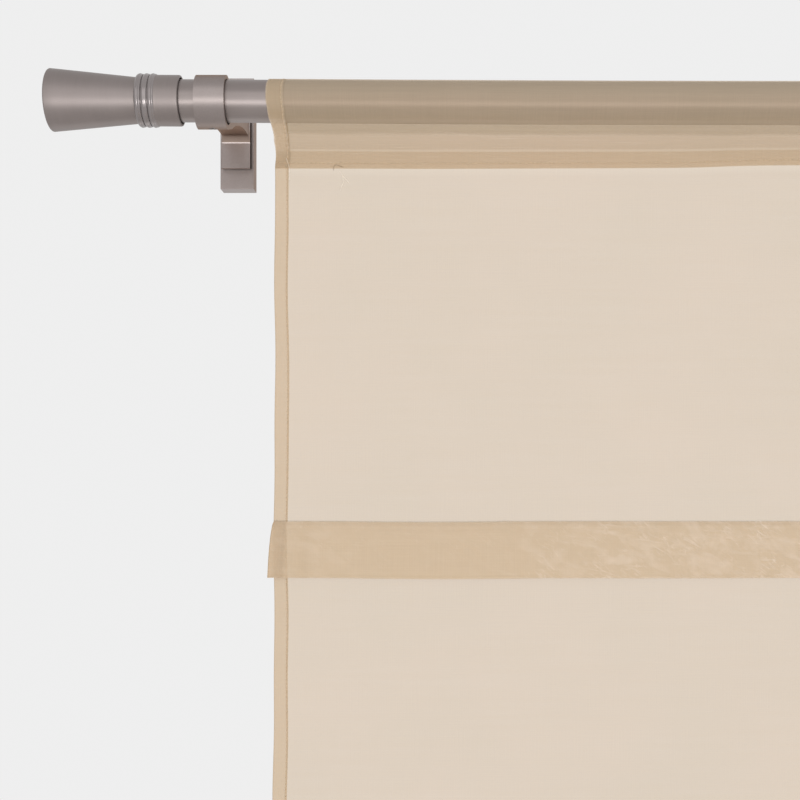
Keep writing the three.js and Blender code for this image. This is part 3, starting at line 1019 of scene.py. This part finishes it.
voile = {
    "sand": (0.505, 0.374, 0.242),
    "olive": (0.478, 0.362, 0.230),
    # lighter tone for layered cloth and cloth over the rod: painted light
    "paintedLight": (0.628, 0.520, 0.379),
    "shaded": (0.362, 0.262, 0.138),
    "glint": (0.84, 0.74, 0.64),
    "gap": (1.0, 0.94, 0.88),
    "cover": 0.50,  # share of the light that meets a thread
    "through": 0.20,  # share of that which shines through it
    "threadsPerMetre": 2900,
    "sheen": 0.06,
    "strokes": (  # painted glints on the tuck: marks per metre, turn, detail, distortion, and from, to and strength
        ((80, 240, 1), -32, 3, 1.7, 0.54, 0.74, 1),
        ((50, 400, 1), -7, 2, 0.8, 0.58, 0.74, 0.8),
        ((120, 280, 1), -46, 2, 1.6, 0.56, 0.74, 0.9),
    ),
    # broader patches of painted glint on the tuck
    "patches": ((55, 110, 1), -22, 3, 0.6, 0.48, 0.71, 0.64),
    "level": ((34, 1100, 1), 0, 2, 0.2, 0.58, 0.76, 0.28),  # faint light lines across the pocket, painted highlights
}


def lightMarks(n, flat, stretch, angle, detail, distortion, low, high, most):
    streaks = n.streaks(flat, stretch, angle, detail=detail, distortion=distortion)
    return n.remap(streaks, low, high, 0, most)


def voileMaterial():
    n = Nodes("sandVoile")
    flat = n.add("UVMap", uv_map="clothUv").outputs["UV"]
    perMetre = voile["threadsPerMetre"]
    warp, weft = (n.streaks(flat, stretch, detail=1) for stretch in ((perMetre, 30, 1), (30, perMetre, 1)))
    threads = n.math("MULTIPLY", n.math("ADD", warp, weft), 0.5)
    slub = n.streaks(flat, (9, 260, 1), detail=2)
    strokes = [lightMarks(n, flat, *row) for row in voile["strokes"]]
    strokes = n.math("MAXIMUM", n.math("MAXIMUM", *strokes[:2]), strokes[2])
    cluster = n.remap(n.noise(flat, 48, detail=2), 0.40, 0.62, 0, 1)
    crumpleGlint = n.math("MAXIMUM", n.math("MULTIPLY", strokes, cluster), lightMarks(n, flat, *voile["patches"]))
    dotted = n.remap(n.streaks(flat, (700, 620, 1), detail=1), 0.40, 0.60, 0.45, 1.0)
    # glint: painted highlights from the tuck's crinkles, the pocket's lines and the rims
    glint = n.math("MULTIPLY", crumpleGlint, n.mark("crinkleGlint"))
    for pattern, mark in ((lightMarks(n, flat, *voile["level"]), "level"), (dotted, "rim")):
        glint = n.math("MAXIMUM", glint, n.math("MULTIPLY", pattern, n.mark(mark)))
    cloud = n.remap(n.noise(flat, 11, detail=3), 0.35, 0.65, 0, 1)
    tone = n.blend(cloud, voile["olive"], voile["sand"])
    for mark in ("paintedLight", "shaded"):
        tone = n.blend(n.mark(mark), tone, voile[mark])
    tone = n.blend(n.math("MULTIPLY", glint, 0.5), tone, voile["glint"])
    n.surface({
        "Base Color": tone,
        "Roughness": 0.7,
        "Sheen Weight": voile["sheen"],
        "Sheen Roughness": 0.4,
        "Specular IOR Level": 0.2,
    })
    n.bump(n.math("ADD", threads, n.math("MULTIPLY", glint, 2.0)), 0.2, 0.2 * mm)
    lit = n.add("BsdfTranslucent", {"Color": tone}).outputs["BSDF"]
    yarn = n.mixShaders(voile["through"], n.shader.outputs["BSDF"], lit)
    gaps = n.add("BsdfTransparent", {"Color": voile["gap"]}).outputs["BSDF"]
    cover = n.remap(threads, 0.3, 0.7, voile["cover"] - 0.03, voile["cover"] + 0.03)
    cover = n.math("ADD", cover, n.remap(slub, 0.3, 0.7, -0.012, 0.012))
    cover = n.math("ADD", cover, n.math("MULTIPLY", glint, 0.06), clamp=True)
    n.feed(n.mixShaders(cover, gaps, yarn), n.tree.nodes["Material Output"].inputs["Surface"])
    return n.material


curtain = buildCurtain()
dress(curtain, voileMaterial())
handOver(curtain, "voile", "curtain_panel")
print("curtain made")

thread = {
    "radius": 0.11 * mm,
    "stitch": 2.3 * mm,
    "pitch": 2.8 * mm,
    "proud": 0.14 * mm,  # off the cloth, at the middle of a stitch
    "endsIn": 2 * mm,  # from each side edge
    "fromHemEdge": 1.0 * mm,
    "bottomHem": 23.6 * mm,  # above the bottom edge
    "tones": ((0.60, 0.44, 0.27), (0.76, 0.60, 0.41)),
    "strayTones": ((0.13, 0.085, 0.03), (0.86, 0.76, 0.62)),  # dark, pale
    "strays": (  # how dark (1) or pale (-1), then points across and below the rod's axis, in mm
        (1, (-360.9, 46.6), (-360.8, 44.6), (-360.3, 43.1), (-358.6, 42.8), (-356.8, 43.7), (-354.3, 44.4)),
        (-1, (-356.6, 47.0), (-355.6, 48.8), (-354.4, 51.6), (-354.2, 54.4), (-355.6, 57.4), (-356.2, 59.8)),
        (-1, (-354.8, 50.2), (-353.4, 51.8), (-351.8, 53.2), (-350.6, 55.2)),
        (-1, (-392.6, 38.0), (-391.6, 41.0), (-390.4, 45.0), (-390.1, 49.5), (-390.3, 53.0)),
    ),
}


def threadTubes(lines, across):  # along lines of as many points each; across is a steady direction
    count, points = lines.shape[:2]
    heading = np.gradient(lines, axis=1)
    heading /= np.linalg.norm(heading, axis=2, keepdims=True)
    side = np.cross(heading, np.array(across))
    side /= np.linalg.norm(side, axis=2, keepdims=True)
    up = np.cross(side, heading)
    spots = np.stack([lines + thread["radius"] * k for k in (side, up, -side, -up)], axis=2)
    start = np.arange(count)[:, None] * points * 4
    last = 4 * (points - 1)
    faces = []
    for first in range(0, last, 4):
        for k in range(4):
            a, b = first + k, first + (k + 1) % 4
            faces.append((a, b, b + 4, a + 4))
    faces += [(3, 2, 1, 0), (last, last + 1, last + 2, last + 3)]
    return spots.reshape(-1, 3), np.concatenate([start + np.array([face]) for face in faces])


def stitchRow(start, end, lift):  # three places for each stitch, and their lift off the cloth
    begin = np.arange(start, end - thread["stitch"], thread["pitch"])
    places = begin[:, None] + thread["stitch"] * np.array([[0, 0.5, 1.0]])
    return places, lift + thread["proud"] * np.sign(lift) * np.array([[-0.4, 1.0, -0.4]]) + 0 * places


def stitchAcross(stretch, below, lift):  # from side to side
    reach = half - thread["endsIn"]
    x, lifts = stitchRow(-reach, reach, lift)
    return threadTubes(hang(x, lifts, np.full(x.shape, alongAt(stretch, below))), (0, 0, 1))


def stitchAlong(side, start, end, lift):  # down a side hem
    t, lifts = stitchRow(start, end, lift)
    return threadTubes(hang(side * (half - hemWidth(t) + thread["fromHemEdge"]), lifts, t), (1, 0, 0))


def strayThread(spots):  # just in front of the cloth
    spots = np.array(spots) * mm
    share = np.linspace(0, len(spots) - 1, 21)
    x, below = (np.interp(share, np.arange(len(spots)), spots[:, k]) for k in (0, 1))
    front = axisY - 0.4 * mm - 0.15 * mm * np.sin(share * 1.3)
    return threadTubes(np.stack([x, front, axisZ - below], axis=-1)[None], (0, 1, 0.2))


def threadMaterial():
    n = Nodes("sewingThread")
    twist, stray = n.streaks(n.place(), (2600, 2600, 2600), detail=1), n.mark("stray")
    dark, pale = thread["strayTones"]
    darker = n.blend(n.math("MAXIMUM", stray, 0.0), n.blend(twist, *thread["tones"]), dark)
    n.surface({
        "Base Color": n.blend(n.remap(stray, 0, -1, 0, 1), darker, pale),
        "Roughness": n.remap(twist, 0.3, 0.7, 0.45, 0.65),
        "Sheen Weight": 0.15,
    })
    n.bump(twist, 0.4, 0.1 * mm)
    return n.material


def buildStitches():
    off, hemSeam = thread["proud"], cloth["drop"] - thread["bottomHem"]
    rows = [(0, *stitchAcross(*row)) for row in (
        ("front", cloth["stitching"], -off), ("back", cloth["stitching"], -off),
        ("panel", tuck["seam"] + 0.8 * mm, off), ("panel", hemSeam, -off), ("hem", hemSeam, -off),
    )]
    rows += [(tone, *strayThread(spots)) for tone, *spots in thread["strays"]]
    for side in (-1, 1):
        for lift in (-off, cloth["ply"] + off):
            rows.append((0, *stitchAlong(side, alongAt("back", cloth["stitching"]), flapTop, lift)))
            rows.append((0, *stitchAlong(side, along[tuckEnd], along[hemRow] - 4 * mm, lift)))
    starts = np.cumsum([0] + [len(spots) for _, spots, _ in rows])
    faces = np.concatenate([row[2] + start for row, start in zip(rows, starts)])
    sewn = smoothPiece("stitches", np.concatenate([spots for _, spots, _ in rows]), faces)
    addMark(sewn, "stray", np.concatenate([np.full(len(spots), float(tone)) for tone, spots, _ in rows]))
    dress(sewn, threadMaterial())
    handOver(sewn, "voile")
    print("stitches", len(faces) * 2, "triangles")
    return sewn


stitches = buildStitches()

stage = {
    "floorDrop": 0.30,
    "floorHalf": 2.2,
    "floorTones": ((0.80, 0.79, 0.78), (0.84, 0.83, 0.82)),
    "wallGrey": 0.86,
}

lamps = {  # places are from the rod's axis, in metres; size is across and high
    "longSoftbox": {"place": (-0.15, -2.0, -0.72), "aimX": -0.25, "size": (2.5, 0.44), "watts": 17.8},
    "upperPanel": {"place": (-0.25, -1.75, 0.62), "aimX": -0.25, "size": (2.6, 1.3), "watts": 7},
    "lowBounce": {"place": (-0.45, 1.0, -1.15), "aimX": -0.45, "size": (1.6, 0.5), "watts": 1.5},
}

camera = {
    "lens": 50,
    "sensor": 36,
    "distance": 743 * mm,  # in front of the rod's axis
    "inward": 83.5 * mm,  # from the panel's left edge
    "down": 200 * mm,  # below the rod's axis
}


def buildRoom():
    floor = addPlain(
        bpy.ops.mesh.primitive_plane_add, size=2 * stage["floorHalf"],
        location=(0, 0, cadLow[2] - stage["floorDrop"]),
    )
    floor.name = "floor"
    n = Nodes("paleFloor")
    tone = n.blend(n.noise(n.place(), 3, detail=3), *stage["floorTones"])
    n.surface({"Base Color": tone, "Roughness": 0.8})
    dress(floor, n.material)
    world = bpy.data.worlds.new("room")
    world.use_nodes = True
    background = world.node_tree.nodes["Background"]
    background.inputs["Color"].default_value = (*[stage["wallGrey"]] * 3, 1)
    background.inputs["Strength"].default_value = 1.0
    bpy.context.scene.world = world


def addLight(name, lamp):
    light = bpy.data.lights.new(name, "AREA")
    light.shape = "RECTANGLE"
    light.size, light.size_y = lamp["size"]
    light.energy = lamp["watts"]
    x, y, z = lamp["place"]
    place = Vector((x, axisY + y, axisZ + z))
    obj = addObject(name, light)
    obj.location = place
    obj.rotation_euler = (Vector((lamp["aimX"], axisY, axisZ)) - place).to_track_quat("-Z", "Y").to_euler()
    obj.visible_camera = False


def buildCamera():
    data = bpy.data.cameras.new("camera")
    data.lens = camera["lens"]
    data.sensor_width = camera["sensor"]
    data.clip_start = 0.01
    eye = addObject("camera", data)
    eye.location = (-half + camera["inward"], axisY - camera["distance"], axisZ - camera["down"])
    eye.rotation_euler = (math.pi / 2, 0, 0)
    bpy.context.scene.camera = eye


buildRoom()
for name, lamp in lamps.items():
    addLight(name, lamp)
buildCamera()
bpy.context.scene.view_settings.view_transform = "Standard"
bpy.context.scene.cycles.transparent_max_bounces = 16
print("stage, lights and camera set")
